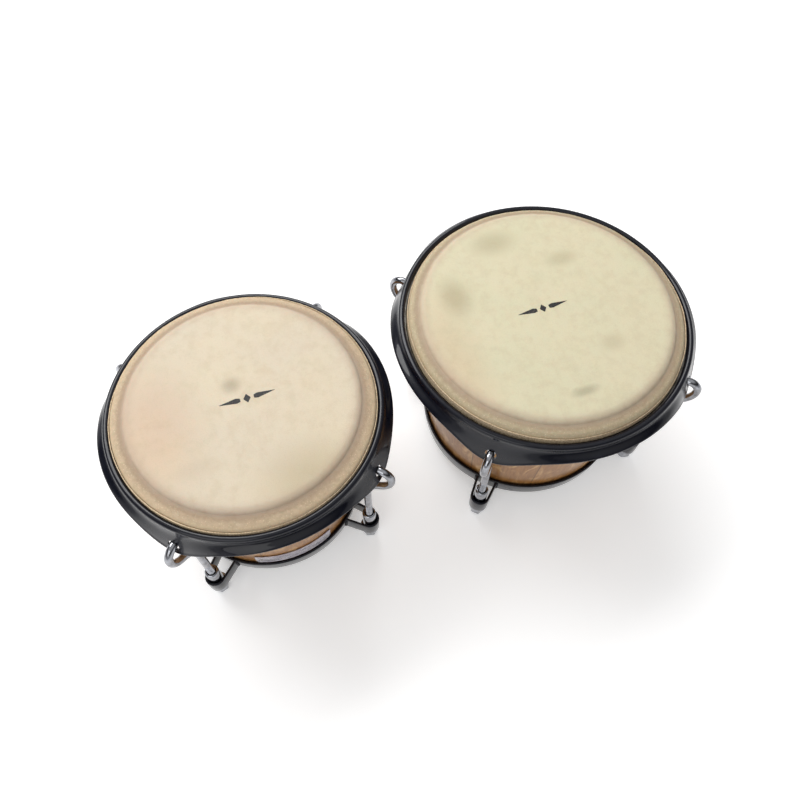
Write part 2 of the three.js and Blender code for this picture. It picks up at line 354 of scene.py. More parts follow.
class Paint:
    """A material and short calls that add nodes to it. A value may be a number or a socket."""

    def __init__(self, name):
        self.material = bpy.data.materials.new(name)
        self.material.use_nodes = True
        self.tree = self.material.node_tree
        self.shader = self.tree.nodes["Principled BSDF"]

    def node(self, kind, inputs, **settings):
        node = self.tree.nodes.new(kind)
        for key, value in settings.items():
            setattr(node, key, value)
        for key, value in inputs.items():
            self.put(node.inputs[key], value)
        return node

    def put(self, socket, value):
        if isinstance(value, bpy.types.NodeSocket):
            self.tree.links.new(value, socket)
        else:
            socket.default_value = value

    def place(self):
        return self.node("ShaderNodeTexCoord", {}).outputs["Object"]

    def rest_place(self):
        return self.node("ShaderNodeAttribute", {}, attribute_name=REST_PLACE).outputs["Vector"]

    def vector(self, operation, a, b=(0, 0, 0)):
        node = self.node("ShaderNodeVectorMath", {0: a, 1: b}, operation=operation)
        return node.outputs["Value" if operation in ("LENGTH", "DOT_PRODUCT") else "Vector"]

    def maths(self, operation, a, b=0.0):
        return self.node("ShaderNodeMath", {0: a, 1: b}, operation=operation).outputs[0]

    def noise(self, place, size, detail=3.0, roughness=0.5, distortion=0.0):
        inputs = {"Vector": place, "Scale": 1 / size, "Detail": detail,
                  "Roughness": roughness, "Distortion": distortion}
        return self.node("ShaderNodeTexNoise", inputs).outputs["Fac"]

    def cells(self, place, size):
        inputs = {"Vector": place, "Scale": 1 / size}
        return self.node("ShaderNodeTexVoronoi", inputs).outputs["Distance"]

    def span(self, value, low, high, start=0.0, end=1.0):
        inputs = {"Value": value, "From Min": low, "From Max": high, "To Min": start, "To Max": end}
        return self.node("ShaderNodeMapRange", inputs, interpolation_type="SMOOTHSTEP").outputs[0]

    def mix(self, share, a, b, blend="MIX"):
        node = self.node("ShaderNodeMix", {0: share}, data_type="RGBA", blend_type=blend)
        self.put(node.inputs[6], a)
        self.put(node.inputs[7], b)
        return node.outputs[2]

    def bump(self, height, distance, strength=1.0, under=None):
        inputs = {"Height": height, "Distance": distance, "Strength": strength}
        if under is not None:
            inputs["Normal"] = under
        return self.node("ShaderNodeBump", inputs).outputs[0]

    def set(self, **values):
        for key, value in values.items():
            self.put(self.shader.inputs[key.replace("_", " ")], value)
        return self.material


def spot(paint, place, centre, size, ragged):
    """A soft-edged patch: 1 at its middle and 0 outside."""
    arm = paint.vector("SUBTRACT", place, centre)
    arm = paint.vector("MULTIPLY", arm, (1 / size[0], 1 / size[1], 0))
    distance = paint.vector("LENGTH", arm)
    rough = paint.maths("MULTIPLY", paint.maths("SUBTRACT", ragged, 0.5), 0.9)
    return paint.span(paint.maths("ADD", distance, rough), 0.1, 1.15, 1.0, 0.0)


def skin_material(drum, face, collar, stains_and_shadow):
    """Rawhide: a pale playing face, a darker speckled collar, hair pores and old stain marks; painted
    shade over the shoulder and where it folds into the collar, and a painted shadow among the marks.
    """
    paint = Paint(f"{drum.name}_rawhide")
    place = paint.rest_place()
    flat = paint.vector("MULTIPLY", paint.vector("SUBTRACT", place, drum.centre), (1, 1, 0))
    radius = paint.vector("LENGTH", flat)
    cloud = paint.noise(place, 45 * MM, 4)
    mottle = paint.noise(place, 7 * MM, 5, 0.6)
    fibre = paint.noise(place, 0.9 * MM, 3, 0.6)
    colour = paint.mix(paint.span(cloud, 0.35, 0.68, 0.0, 0.35), face, srgb(222, 208, 178))
    colour = paint.mix(paint.span(mottle, 0.40, 0.72, 0.0, 0.22), colour, srgb(190, 172, 142))
    colour = paint.mix(paint.span(fibre, 0.45, 0.75, 0.0, 0.16), colour, srgb(176, 158, 128))
    # Stain marks, and one painted shadow on the small head, darken the colour
    for tint, east, north, width, depth, strength in stains_and_shadow:
        middle = drum.centre + Vector((east, north, 0)) * MM
        patch = spot(paint, place, middle, (width * MM, depth * MM), mottle)
        colour = paint.mix(paint.maths("MULTIPLY", patch, strength), colour, tint, "MULTIPLY")
    edge = paint.maths("ADD", radius, paint.span(mottle, 0.3, 0.7, -0.35 * MM, 0.35 * MM))
    # Painted shade: the shoulder darkens towards the edge, as if turned away from the light
    painted_shoulder_shade = paint.span(edge, drum.head - 17 * MM, drum.head - 6 * MM, 0.0, 0.6)
    colour = paint.mix(painted_shoulder_shade, colour, srgb(186, 163, 142))
    speck = paint.cells(place, 1.5 * MM)
    grain = paint.noise(place, 2.6 * MM, 4, 0.65)
    tan = paint.mix(paint.span(grain, 0.32, 0.72, 0.0, 0.6), collar, srgb(154, 130, 98))
    tan = paint.mix(0.75, face, tan)
    tan = paint.mix(paint.span(speck, 0.08, 0.30, 0.8, 0.0), tan, srgb(226, 208, 174))
    on_collar = paint.span(edge, drum.head - 6.6 * MM, drum.head - 3.6 * MM)
    colour = paint.mix(on_collar, colour, tan)
    # Painted shade: a dark band where the shoulder folds into the collar
    off_crease = paint.maths("ABSOLUTE", paint.maths("SUBTRACT", edge, drum.head - 4.9 * MM))
    painted_crease_shade = paint.span(off_crease, 0.3 * MM, 4.2 * MM, 0.55, 0.0)
    colour = paint.mix(painted_crease_shade, colour, srgb(150, 127, 107))
    rim_side = paint.span(edge, drum.head - 0.8 * MM, drum.head + 2 * MM, 0.0, 0.5)
    colour = paint.mix(rim_side, colour, srgb(206, 184, 150))
    pores = paint.cells(place, 1.1 * MM)
    rough = paint.span(mottle, 0.3, 0.7, 0.62, 0.82)
    normal = paint.bump(fibre, 0.10 * MM)
    normal = paint.bump(paint.span(pores, 0.0, 0.25), 0.05 * MM, 0.6, normal)
    normal = paint.bump(paint.maths("MULTIPLY", grain, on_collar), 0.5 * MM, 0.8, normal)
    return paint.set(Base_Color=colour, Roughness=rough, Normal=normal, Specular_IOR_Level=0.3,
                     Subsurface_Weight=0.12, Subsurface_Scale=1.5 * MM)


def trim_material():
    """The cut edge of the hide: pale and fibrous, with darker fibres here and there."""
    paint = Paint("cut_hide")
    place = paint.place()
    fibre = paint.noise(place, 1.1 * MM, 4, 0.7)
    colour = paint.mix(paint.span(fibre, 0.35, 0.7), srgb(226, 206, 174), srgb(178, 152, 116))
    return paint.set(Base_Color=colour, Roughness=0.7, Normal=paint.bump(fibre, 0.3 * MM))


def wood_material(drum, inside):
    """Stained staves with an upright grain: lacquered outside, bare and dull inside."""
    paint = Paint(f"{drum.name}_{'bare' if inside else 'lacquered'}_wood")
    place = paint.place()
    arm = paint.vector("SUBTRACT", place, drum.centre)
    upright = paint.vector("MULTIPLY", arm, (1, 1, 0.07))
    slanted = paint.vector("MULTIPLY", arm, (1, 1, 0.45))
    streak = paint.noise(upright, 2.2 * MM, 5, 0.65, 0.4)
    figure = paint.noise(slanted, 17 * MM, 3, 0.55, 1.6)
    pore = paint.noise(upright, 0.5 * MM, 2, 0.6)
    split = paint.node("ShaderNodeSeparateXYZ", {0: arm})
    azimuth = paint.maths("ARCTAN2", split.outputs[1], split.outputs[0])
    stave = paint.maths("MULTIPLY", azimuth, STAVES / TURN)
    number = paint.maths("FLOOR", stave)
    tone = paint.node("ShaderNodeTexWhiteNoise", {"W": number}, noise_dimensions="1D").outputs[0]
    joint = paint.maths("ABSOLUTE", paint.maths("SUBTRACT", paint.maths("FRACT", stave), 0.5))
    seam = paint.span(joint, 0.488, 0.498)
    if inside:
        light, dark, pale = srgb(196, 160, 116), srgb(150, 112, 72), srgb(214, 184, 140)
    else:
        light, dark, pale = srgb(168, 120, 66), srgb(124, 78, 38), srgb(212, 172, 116)
    colour = paint.mix(paint.span(streak, 0.30, 0.70, 0.0, 1.0 if inside else 0.6), light, dark)
    colour = paint.mix(paint.span(figure, 0.50, 0.72, 0.0, 0.75), colour, pale)
    colour = paint.mix(paint.span(tone, 0.0, 1.0, 0.0, 0.30), colour, dark, "MULTIPLY")
    colour = paint.mix(paint.span(pore, 0.60, 0.72, 0.0, 0.4), colour, srgb(96, 60, 32))
    colour = paint.mix(paint.maths("MULTIPLY", seam, 0.7), colour, srgb(70, 42, 22))
    normal = paint.bump(paint.maths("ADD", streak, pore), (0.15 if inside else 0.04) * MM)
    if inside:
        return paint.set(Base_Color=colour, Roughness=0.8, Normal=normal)
    dents = paint.bump(paint.noise(place, 9 * MM, 2), 0.12 * MM)
    return paint.set(Base_Color=colour, Roughness=0.42, Normal=normal, Specular_IOR_Level=0.3,
                     Coat_Weight=0.25, Coat_Roughness=0.07, Coat_Normal=dents)


def black_material(name, roughness, bloom):
    """Stoved black paint on steel, with orange peel, faint rubs and fine scratches."""
    paint = Paint(name)
    place = paint.place()
    peel = paint.noise(place, 1.6 * MM, 2)
    rub = paint.noise(place, 13 * MM, 6, 0.7)
    stretched = paint.vector("MULTIPLY", place, (1, 1, 6))
    scratch = paint.noise(stretched, 3.5 * MM, 4, 0.75, 1.2)
    rubbed = paint.span(rub, 0.50, 0.75)
    marks = paint.span(scratch, 0.66, 0.74)
    colour = paint.mix(paint.maths("MULTIPLY", rubbed, bloom), srgb(8, 10, 22), srgb(26, 29, 44))
    colour = paint.mix(paint.maths("MULTIPLY", marks, 0.25), colour, srgb(66, 68, 76))
    rough = paint.maths("ADD", paint.span(rub, 0.3, 0.8, -0.05, 0.14), roughness)
    normal = paint.bump(peel, 0.03 * MM)
    return paint.set(Base_Color=colour, Roughness=rough, Normal=normal, Specular_IOR_Level=0.18,
                     Coat_Weight=0.45, Coat_Roughness=0.03)


def chrome_material():
    """Bright plating, with smudges, pits and a little dullness."""
    paint = Paint("chrome_plate")
    place = paint.place()
    smudge = paint.noise(place, 6 * MM, 5, 0.65)
    pits = paint.cells(place, 1.3 * MM)
    pitted = paint.span(pits, 0.06, 0.13, 1.0, 0.0)
    colour = paint.mix(paint.span(smudge, 0.35, 0.75), srgb(168, 170, 176), srgb(122, 122, 124))
    colour = paint.mix(paint.maths("MULTIPLY", pitted, 0.5), colour, srgb(60, 55, 50))
    rough = paint.maths("ADD", paint.span(smudge, 0.35, 0.75, 0.03, 0.14),
                        paint.maths("MULTIPLY", pitted, 0.2))
    wave = paint.bump(paint.noise(place, 3 * MM, 2), 0.05 * MM)
    return paint.set(Base_Color=colour, Roughness=rough, Metallic=1.0, Normal=wave)


def steel_material(name, light, dark, roughness, grain):
    """Bare steel with darker blotches and fine lines, which grain draws out along an axis."""
    paint = Paint(name)
    place = paint.place()
    lines = paint.noise(paint.vector("MULTIPLY", place, grain), 0.7 * MM, 3, 0.6)
    blotch = paint.noise(place, 8 * MM, 5, 0.65)
    colour = paint.mix(paint.span(blotch, 0.35, 0.7), light, dark)
    rough = paint.maths("ADD", paint.span(lines, 0.3, 0.7, -0.08, 0.10), roughness)
    normal = paint.bump(lines, 0.05 * MM)
    return paint.set(Base_Color=colour, Roughness=rough, Metallic=1.0, Normal=normal)


def ink_material():
    """Printed ink, worn thin in places."""
    paint = Paint("head_ink")
    worn = paint.noise(paint.place(), 1.2 * MM, 4, 0.7)
    colour = paint.mix(paint.span(worn, 0.55, 0.75, 0.0, 0.6), srgb(22, 20, 22), srgb(120, 108, 92))
    return paint.set(Base_Color=colour, Roughness=0.6)


def floor_material():
    paint = Paint("pale_floor")
    return paint.set(Base_Color=(0.93, 0.93, 0.93, 1), Roughness=0.9, Specular_IOR_Level=0.1,
                     Emission_Color=(1, 1, 1, 1), Emission_Strength=0.33)


# ---------------------------------------------------------------- pieces


def settle(item, body, slot, material, *nodes):
    """Dresses a piece, lets it ride on its body and lets it stand for CAD nodes."""
    item.data.materials.clear()
    item.data.materials.append(material)
    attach(item, body)
    if nodes:
        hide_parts(*nodes)
    return item


def rim_flank(drum):
    """The centre line of the rim's skirt: a cubic curve from under the bead to the edge."""
    corners = [
        Vector((drum.head + 7.8 * MM, drum.rim_top - 5 * MM)),
        Vector((drum.head + 8.3 * MM, drum.rim_top - 7 * MM)),
        Vector((drum.head + 10.8 * MM, drum.rim_top - 7.4 * MM)),
        Vector((drum.rim_reach - RIM_WALL / 2 - 0.1 * MM, drum.rim_top - 9 * MM)),
    ]
    flank = []
    for t in np.linspace(0, 1, 17):
        a, b, c, d = ((1 - t) ** 3, 3 * t * (1 - t) ** 2, 3 * t * t * (1 - t), t ** 3)
        flank.append(corners[0] * a + corners[1] * b + corners[2] * c + corners[3] * d)
    return flank


def make_rim(drum, material):
    """A rolled bead on a flaring skirt, drawn down into a lobe with a hole at each hook."""
    flank = rim_flank(drum)
    sheet = thickened(flank, RIM_WALL)
    outer, inner = sheet[:len(flank)], sheet[len(flank):]
    bead_middle = (drum.head + BEAD_OUT, drum.rim_top - BEAD_RADIUS)
    bead = arc(*bead_middle, BEAD_RADIUS, -15, 255, 18)
    tangent = (flank[-1] - flank[-2]).normalized()
    lean = math.degrees(math.atan2(tangent.y, tangent.x))
    hem = arc(*flank[-1], RIM_WALL / 2, lean + 90, lean - 90, 6)[1:-1]
    outline = outer[::-1] + bead + inner[::-1] + hem[::-1]
    lobe_start = drum.rim_top - 5 * MM
    skirt_edge = flank[-1].y
    draws = [max(0.0, (lobe_start - p.y) / (lobe_start - skirt_edge)) ** 2 for p in flank]
    pulls = draws[::-1] + [0.0] * len(bead) + draws + [draws[-1]] * len(hem)

    def lobes(r, z, azimuth, row):
        share = (1 + np.cos(4 * (azimuth - drum.first_lug))) / 2
        lobe = share ** LOBE_SHARPNESS
        drop = LOBE_SAG * share + LOBE_DEPTH * lobe
        return r + LOBE_FLARE * lobe * pulls[row], z - drop * pulls[row]

    rim = lathe(f"{drum.name}_rolled_rim", drum, outline, 360, shape=lobes)
    for number, (azimuth, _) in enumerate(drum.lugs):
        bore = hook_hole(drum, azimuth, number)
        cut = rim.modifiers.new("hole", "BOOLEAN")
        cut.object = bore
        cut.solver = "EXACT"
    apply_modifiers(rim)
    rim.data.shade_smooth()
    rim.data.set_sharp_from_angle(angle=math.radians(40))
    for bore in [o for o in bpy.data.objects if o.name.startswith("bore_tool")]:
        bpy.data.objects.remove(bore)
    return settle(rim, drum.rim_body, "black_steel", material, f"{drum.name}_rim")


def hook_hole(drum, azimuth, number):
    """The space that a hook takes through its lobe: a level cylinder pointing outwards."""
    height = drum.rim_top - HOOK_HOLE_DROP
    out = Vector((math.cos(azimuth), math.sin(azimuth), 0))
    side = Vector((-out.y, out.x, 0))
    rows = []
    for reach in (7 * MM, 27 * MM):
        middle = polar(drum, azimuth, drum.head + reach, height)
        angles = np.linspace(0, TURN, 40, endpoint=False)
        rows.append([middle + (side * math.cos(a) + Vector((0, 0, math.sin(a)))) * HOOK_HOLE_RADIUS
                     for a in angles])
    ends = [[np.mean(rows[0], axis=0)], rows[0], rows[1], [np.mean(rows[1], axis=0)]]
    return grid_object(f"bore_tool_{number}", ends)


def apply_modifiers(item):
    """Replaces an object's mesh by what its modifiers make of it."""
    graph = bpy.context.evaluated_depsgraph_get()
    mesh = bpy.data.meshes.new_from_object(item.evaluated_get(graph))
    item.modifiers.clear()
    item.data = mesh


def collar_path(drum):
    """The hide's centre line: flat, over the shoulder, down the collar and round the hoop."""
    shoulder = EDGE_DROP - 0.2 * MM - SKIN_THICKNESS / 2
    top = drum.edge_height + shoulder
    leave = 37
    lip = drum.head + LIPS[drum.name]
    face = [(0.0, top), (drum.head * 0.5, top), (drum.head * 0.8, top)]
    over = arc(drum.edge_centre, drum.edge_height, shoulder, 90, leave, 10)
    hoop = (drum.head + HOOP_OUT, drum.rim_top - HOOP_DROP)
    tuck = arc(*hoop, HOOP_RADIUS + 0.1 * MM + SKIN_THICKNESS / 2, 180, 340, 12)
    along = flowing([
        over[-1],
        (drum.head - 5.6 * MM, drum.top - 4.1 * MM),
        (drum.head - 1.6 * MM, drum.top - 5.3 * MM),
        (lip - 0.6 * MM, drum.top - 6.9 * MM),
        (lip, drum.top - 8.6 * MM),
        (lip - 0.5 * MM, drum.top - 11.5 * MM),
        tuck[0],
    ], 6)
    return face + over + [tuple(p) for p in along[1:-1]] + tuck


def make_skin(drum, material):
    """The rawhide head, which stands for the head's node and keeps where each point is at rest for its
    paint.
    """
    path = collar_path(drum)
    outline = thickened(path, SKIN_THICKNESS)
    outline[0] = (0.0, outline[0][1])
    outline[-1] = (0.0, outline[-1][1])
    low = drum.edge_height - 3 * MM
    seed = 11 if drum.name == "small" else 23

    def puckers(r, z, azimuth, row):
        share = np.clip((r - drum.head + 6 * MM) / (6 * MM), 0, 1) * (z > low)
        fine = wobble(azimuth, [90, 210], seed)
        return r, z + 0.3 * MM * share * fine

    skin = lathe(f"{drum.name}_rawhide_head", drum, outline, 420, open_ends=True, shape=puckers)
    skin.data.materials.append(material)
    keep_rest_place(skin)
    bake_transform(skin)
    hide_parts(f"{drum.name}_head_skin")
    return skin


def make_trim(drum, material, ragged):
    """The hide's cut edge, which stands up between the collar and the rim's lip."""
    lip = drum.head + LIPS[drum.name]
    path = flowing([
        (lip + 1.7 * MM, drum.rim_top - 4 * MM),
        (lip + 1.4 * MM, drum.rim_top - 2 * MM),
        (lip + 1.2 * MM, drum.rim_top),
        (lip + 1.1 * MM, drum.rim_top + 1.4 * MM),
    ], 6)
    outline = thickened(path, 0.6 * MM)
    seed = 5 if drum.name == "small" else 8

    def torn(r, z, azimuth, row):
        share = np.clip((z - drum.rim_top + 2 * MM) / (3 * MM), 0, 1)
        wave = wobble(azimuth, [28, 70, 190, 420], seed)
        proud = sum(np.exp(-((np.angle(np.exp(1j * (azimuth - a))) / w) ** 2)) for a, w in ragged)
        lift = (-0.7 + 1.5 * np.clip(proud, 0, 1)) * MM + wave * (0.5 + 0.7 * proud) * MM
        lean = wobble(azimuth, [50, 130], seed + 40) * 0.18 * MM
        return r + lean * share, z + lift * share

    trim = lathe(f"{drum.name}_hide_edge", drum, outline, 900, shape=torn)
    return settle(trim, drum.rim_body, "skin", material)


def make_hoop(drum, material):
    outline = arc(drum.head + HOOP_OUT, drum.rim_top - HOOP_DROP, HOOP_RADIUS, 0, 360, 16)[:-1]
    hoop = lathe(f"{drum.name}_wire_hoop", drum, outline, 160)
    return settle(hoop, drum.rim_body, "hoop_steel", material, f"{drum.name}_flesh_hoop")


def make_shell(drum, outside, inside):
    """A tapered wall with a rounded bearing edge, lacquered outside and bare inside."""
    foot = rounded([
        (drum.shell_foot - SHELL_WALL, drum.foot),
        (drum.shell_foot, drum.foot),
        (drum.shell_radius(drum.foot + 4 * MM), drum.foot + 4 * MM),
        (drum.shell_radius(drum.foot + 4 * MM) - SHELL_WALL, drum.foot + 4 * MM),
    ], 0.8 * MM)[:8]
    rise = [(drum.shell_radius(z), z) for z in np.linspace(drum.foot + 6 * MM, drum.edge_height, 14)]
    edge = arc(drum.edge_centre, drum.edge_height, EDGE_RADIUS, 0, 90, 10)[1:]
    lip = drum.edge_height + EDGE_RADIUS - 1.5 * MM
    fall = [(drum.edge_centre - 3 * MM, lip)]
    for z in np.linspace(drum.edge_height - 2 * MM, drum.foot + 6 * MM, 8):
        fall.append((drum.shell_radius(z) - SHELL_WALL, z))
    shell = lathe(f"{drum.name}_stave_shell", drum, foot + rise + edge + fall, 240)
    settle(shell, drum.body, "wood", outside, f"{drum.name}_shell")
    shell.data.materials.append(inside)
    for face in shell.data.polygons:
        arm = face.center - drum.centre
        facing = face.normal.dot(Vector((arm.x, arm.y, 0)).normalized())
        face.material_index = 1 if facing < 0.4 else 0
    return shell


def make_base_ring(drum, material):
    """A pressed band with a flange under the shell; its edges are rounded over."""
    low, high, r = drum.ring_low, drum.ring_high, drum.ring
    outline = rounded([
        (r - RING_WALL - RING_FLANGE, low),
        (r, low),
        (r + RING_LEAN, high),
        (r + RING_LEAN - RING_WALL, high),
        (r - RING_WALL, low + RING_WALL),
        (r - RING_WALL - RING_FLANGE, low + RING_WALL),
    ], 0.95 * MM, 4)
    ring = lathe(f"{drum.name}_pressed_ring", drum, outline, 240)
    return settle(ring, drum.body, "black_steel", material, f"{drum.name}_base_ring")


def swept(name, centres, across, up, section):
    """A closed bar: section is a list of (across, up) offsets, placed at each centre."""
    rows = []
    for centre, side, rise in zip(centres, across, up):
        rows.append([centre + side * a + rise * b for a, b in section])
    ends = [[np.mean(rows[0], axis=0)], *rows, [np.mean(rows[-1], axis=0)]]
    return grid_object(name, ends)


def make_strap(drum, number, material):
    """A flat bar bent round the nut, with its two ends welded to the base ring."""
    azimuth, _ = drum.lugs[number - 1]
    out = Vector((math.cos(azimuth), math.sin(azimuth), 0))
    side = Vector((-out.y, out.x, 0))
    bend = STRAP_INNER_RADIUS + STRAP_WALL / 2
    height = drum.ring_high - drum.ring_low - 0.6 * MM
    middle = (drum.ring_high + drum.ring_low) / 2
    root = drum.ring - 0.2 * MM
    lean = math.degrees(math.atan2(STRAP_SPLAY, drum.rod - root))
    loop = arc(drum.rod, 0.0, bend, lean - 90, 90 - lean, 20)
    start = Vector((root, -bend - STRAP_SPLAY))
    arm = [start.lerp(Vector(loop[0]), share) for share in (0, 0.3, 0.6, 0.9)]
    plan = [*arm, *loop, *((r, -s) for r, s in reversed(arm))]
    centres = [drum.centre + out * r + side * s + Vector((0, 0, middle)) for r, s in plan]
    normals = []
    for index in range(len(plan)):
        ahead = Vector(plan[min(index + 1, len(plan) - 1)])
        along = (ahead - Vector(plan[max(index - 1, 0)])).normalized()
        normals.append(out * along.y - side * along.x)
    ups = [Vector((0, 0, 1))] * len(plan)
    w, h = STRAP_WALL / 2, height / 2
    section = rounded([(-w, -h), (w, -h), (w, h), (-w, h)], 0.8 * MM, 4)
    bar = swept(f"strap_bar_{number}", centres, normals, ups, section)
    welds = [weld_bead(drum, out, side, bend + STRAP_SPLAY + w, sign, number) for sign in (-1, 1)]
    strap = join(f"{drum.name}_welded_strap_{number}", [bar, *welds])
    return settle(strap, drum.body, "black_steel", material, f"{drum.name}_strap_{number}")


def weld_bead(drum, out, side, offset, sign, number):
    """A rippled run of weld in the corner between a strap's end and the ring."""
    length = drum.ring_high - drum.ring_low - 3 * MM
    centres, radii = [], []
    for step in range(41):
        share = step / 40
        height = drum.ring_low + 1.5 * MM + share * length
        lean = RING_LEAN * (height - drum.ring_low) / (drum.ring_high - drum.ring_low)
        reach = math.sqrt((drum.ring + lean) ** 2 - offset ** 2) + 0.35 * MM
        centres.append(drum.centre + out * reach + side * sign * offset + Vector((0, 0, height)))
        end = min(1.0, 8 * share, 8 * (1 - share))
        radii.append((1.0 + 0.18 * math.sin(TURN * 8 * share)) * MM * math.sqrt(max(end, 0.05)))
    rows = []
    for centre, radius in zip(centres, radii):
        angles = np.linspace(0, TURN, 12, endpoint=False)
        rows.append([centre + (out * math.cos(a) + side * math.sin(a)) * radius for a in angles])
    ends = [[centres[0]], *rows, [centres[-1]]]
    return grid_object(f"weld_{number}_{sign}", ends)


def make_hook(drum, number, material):
    """A bent rod with a rounded nose, threaded at its lower end."""
    azimuth, _ = drum.lugs[number - 1]
    out = Vector((math.cos(azimuth), math.sin(azimuth), 0))
    side = Vector((-out.y, out.x, 0))
    hole = drum.rim_top - HOOK_HOLE_DROP
    reach = drum.head + HOOK_REACH
    bend = flowing([
        (reach - 8 * MM, hole),
        (reach + 0.5 * MM, hole + 0.2 * MM),
        (reach + 5.4 * MM, hole - 4.2 * MM),
        (reach + 6 * MM, hole - 13 * MM),
        (reach + 2.2 * MM, hole - 21.5 * MM),
        (reach - 5.5 * MM, hole - 28.5 * MM),
        (drum.rod + 1.2 * MM, hole - 38 * MM),
        (drum.rod, hole - 48 * MM),
    ], 10)
    thread_top = drum.nut_high + 18 * MM
    thread_low = drum.nut_high - 6 * MM
    rod_end = drum.nut_low + 12 * MM
    plain = [(drum.rod, z) for z in np.linspace(hole - 49 * MM, thread_top, 6)]
    turns = (thread_top - thread_low) / THREAD_PITCH
    cut = [(drum.rod, z) for z in np.linspace(thread_top, thread_low, int(turns * 8))[1:]]
    below = [(drum.rod, thread_low - 1 * MM), (drum.rod, rod_end + 1 * MM), (drum.rod, rod_end)]
    path = [Vector(p) for p in [*bend, *plain, *cut, *below]]
    angles = np.linspace(0, TURN, ROD_SIDES, endpoint=False)
    rows = []
    for index, point in enumerate(path):
        ahead = path[min(index + 1, len(path) - 1)]
        along = (ahead - path[max(index - 1, 0)]).normalized()
        across = Vector((-along.y, along.x))
        radius = np.full(ROD_SIDES, ROD_RADIUS)
        if thread_low < point.y < thread_top:
            fade = min(1.0, (thread_top - point.y) / (2 * MM))
            phase = (point.y / THREAD_PITCH + angles / TURN) % 1.0
            radius = ROD_RADIUS - THREAD_DEPTH * fade * (1 - np.abs(2 * phase - 1))
        if index == len(path) - 1:
            radius = radius - 0.6 * MM
        rows.append([
            drum.centre + out * (point.x + across.x * r * math.cos(a))
            + side * r * math.sin(a) + Vector((0, 0, point.y + across.y * r * math.cos(a)))
            for r, a in zip(radius, angles)
        ])
    start, second = path[0], path[1]
    heading = (start - second).normalized()
    nose = []
    nose_length = ROD_RADIUS * 0.8
    for lift in (80, 60, 40, 20):
        ahead = start + heading * nose_length * math.sin(math.radians(lift))
        across = Vector((heading.y, -heading.x))
        r = ROD_RADIUS * math.cos(math.radians(lift))
        nose.append([
            drum.centre + out * (ahead.x + across.x * r * math.cos(a))
            + side * r * math.sin(a) + Vector((0, 0, ahead.y + across.y * r * math.cos(a)))
            for a in angles
        ])
    tip = start + heading * nose_length
    first = [drum.centre + out * tip.x + Vector((0, 0, tip.y))]
    last = [drum.centre + out * path[-1].x + Vector((0, 0, path[-1].y))]
    hook = grid_object(f"{drum.name}_bent_hook_{number}", [first, *nose, *rows, last])
    return settle(hook, drum.rim_body, "chrome", material, f"{drum.name}_hook_{number}")


def make_nut(drum, number, material):
    """A long barrel on a flange, with a chamfered and tapered hexagon below it."""
    azimuth, _ = drum.lugs[number - 1]
    middle = polar(drum, azimuth, drum.rod, 0.0)
    base = drum.nut_low
    top = drum.nut_high
    # Radius and height in millimetres, and whether the section is a hexagon
    outline = [
        (3.8, 0, 0), (4.4, 0.5, 1), (5.5, 1.7, 1), (6.3, 2.7, 1), (6.6, 3.4, 1), (6.6, 5, 1),
        (6.6, 7, 1), (6.6, 9, 1), (6.5, 10.3, 1), (6.1, 11.1, 1), (5.8, 11.7, 0), (7.0, 12.0, 0),
        (7.5, 12.25, 0), (7.8, 12.8, 0), (7.8, 14.4, 0), (7.5, 14.9, 0), (6.6, 15.0, 0),
        (5.8, 15.1, 0), (5.5, 15.6, 0), (5.5, 20, 0), (5.5, 26, 0), (5.5, 32, 0),
    ]
    rows = [[middle + Vector((0, 0, base))]]
    angles = np.linspace(0, TURN, NUT_SIDES, endpoint=False)
    sector = (angles + math.pi / 6) % (math.pi / 3) - math.pi / 6
    flat_radius = HEXAGON_RADIUS * math.cos(math.pi / 6) / np.cos(sector)
    chamfer = 0.35 * MM
    for radius, height, is_hexagon in outline:
        r = np.full(NUT_SIDES, radius * MM)
        if is_hexagon:
            r = np.minimum(r, flat_radius * (0.93 if height < 1 else 1.0))
        rows.append(ring_points(middle, angles + azimuth, r, base + height * MM))
    for inset, drop in ((0.0, 2.2), (0.08, 1.4), (0.45, 0.6), (1.0, 0.1), (1.5, 0.0)):
        r = np.full(NUT_SIDES, BARREL_RADIUS - inset * MM)
        rows.append(ring_points(middle, angles + azimuth, r, top - drop * MM))
    bore_end = base + 4 * MM
    for height in (top - chamfer, bore_end):
        bore = np.full(NUT_SIDES, BORE_RADIUS)
        rows.append(ring_points(middle, angles + azimuth, bore, height))
    rows.append([middle + Vector((0, 0, bore_end))])
    nut = grid_object(f"{drum.name}_barrel_nut_{number}", rows)
    return settle(nut, f"{drum.name}_nut_{number}", "chrome", material, f"{drum.name}_nut_{number}")


def ring_points(middle, angles, radius, height):
    x = middle.x + radius * np.cos(angles)
    y = middle.y + radius * np.sin(angles)
    return np.column_stack((x, y, np.full(len(angles), height)))


